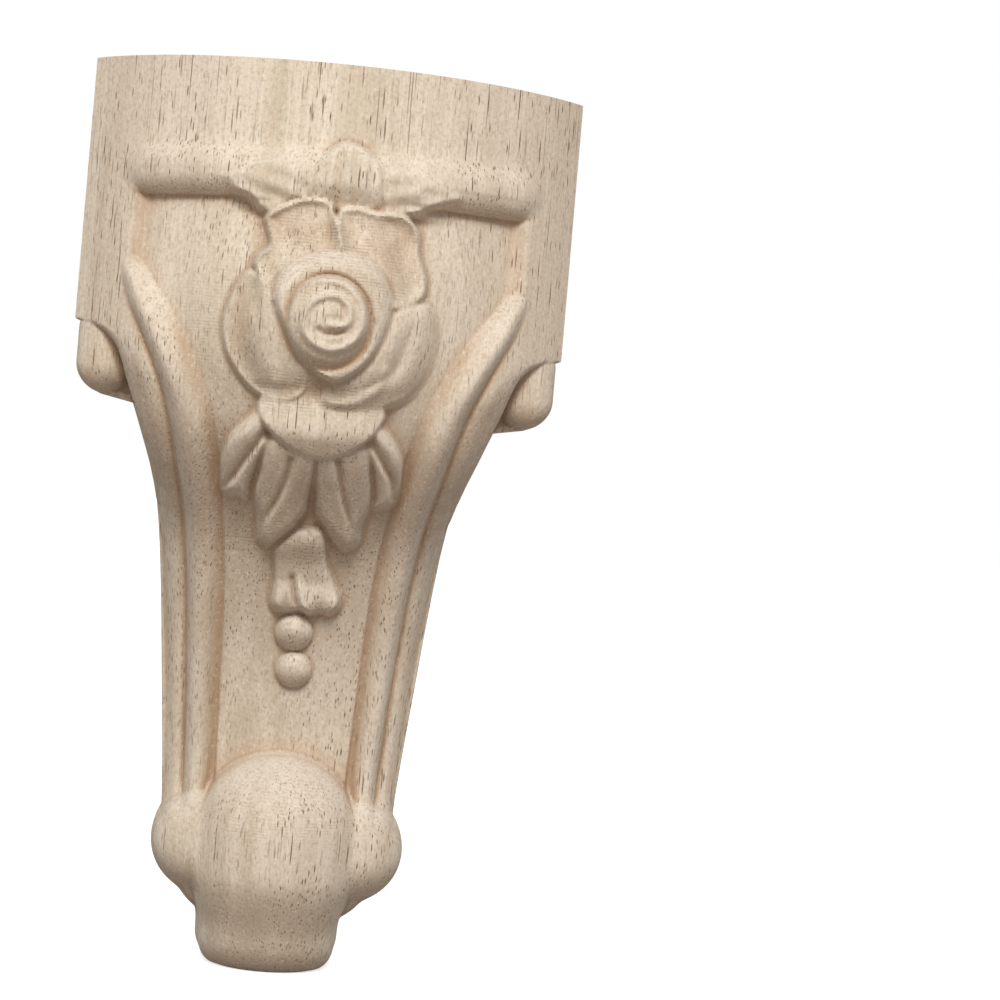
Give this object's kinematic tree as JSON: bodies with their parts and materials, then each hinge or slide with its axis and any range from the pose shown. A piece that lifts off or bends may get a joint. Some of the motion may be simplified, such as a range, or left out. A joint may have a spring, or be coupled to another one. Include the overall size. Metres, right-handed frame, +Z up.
{
  "type": "carved wooden furniture leg",
  "caption": "Curved furniture leg of bare pale wood with a quarter-round top block, flat back faces, a carved rose with leaves, framed sunk panel and round toe.",
  "frame": {"origin": "on the sole, at the middle of the footprint that the leg stands on", "axes": "+Z up along the height, the carved front faces -Y, the right-angled back corner is on the +Y side, +X to the right as seen from the front"},
  "size_m": [0.0806, 0.0711, 0.15],
  "materials": {
    "wood": "bare, unvarnished, cutter lines and pores left open"
  },
  "bodies": {
    "root": {"carved_leg": "wood"}
  },
  "joints": []
}
